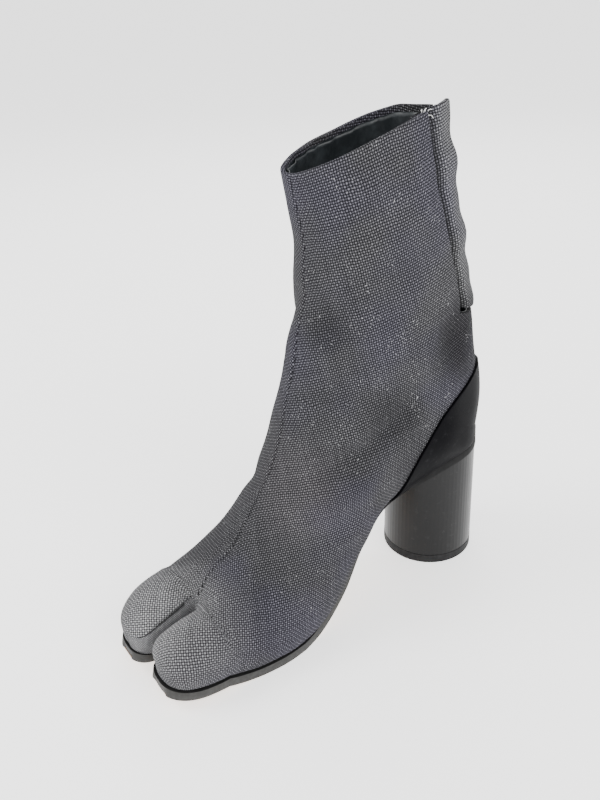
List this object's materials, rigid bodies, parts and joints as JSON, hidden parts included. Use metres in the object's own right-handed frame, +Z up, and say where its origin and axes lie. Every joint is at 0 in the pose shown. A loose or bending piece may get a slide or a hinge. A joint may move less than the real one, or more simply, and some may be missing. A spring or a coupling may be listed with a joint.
{
  "type": "split-toe canvas ankle boot",
  "caption": "Right-foot split-toe ankle boot: hollow canvas shaft open at a slanting collar, thin leather sole, leather heel counter and a tall round heel.",
  "frame": {"origin": "on the floor, under the middle of the boot's bounding box", "axes": "+Z up, -Y towards the toe, +X towards the inner (medial) side"},
  "size_m": [0.0832, 0.2231, 0.2621],
  "materials": {
    "canvas": "coarse faded basket-weave canvas, matt",
    "counter_leather": "smooth black leather, half gloss",
    "sole_leather": "painted edge, plain underside",
    "insole_board": "smooth, matt",
    "heel_block": "glossy black lacquer",
    "lift_rubber": "matt black"
  },
  "bodies": {
    "root": {"outsole": "sole_leather", "insole": "insole_board", "upper": "canvas", "placket_strip": "canvas", "heel_counter": "counter_leather", "heel": "heel_block", "top_lift": "lift_rubber"}
  },
  "joints": []
}
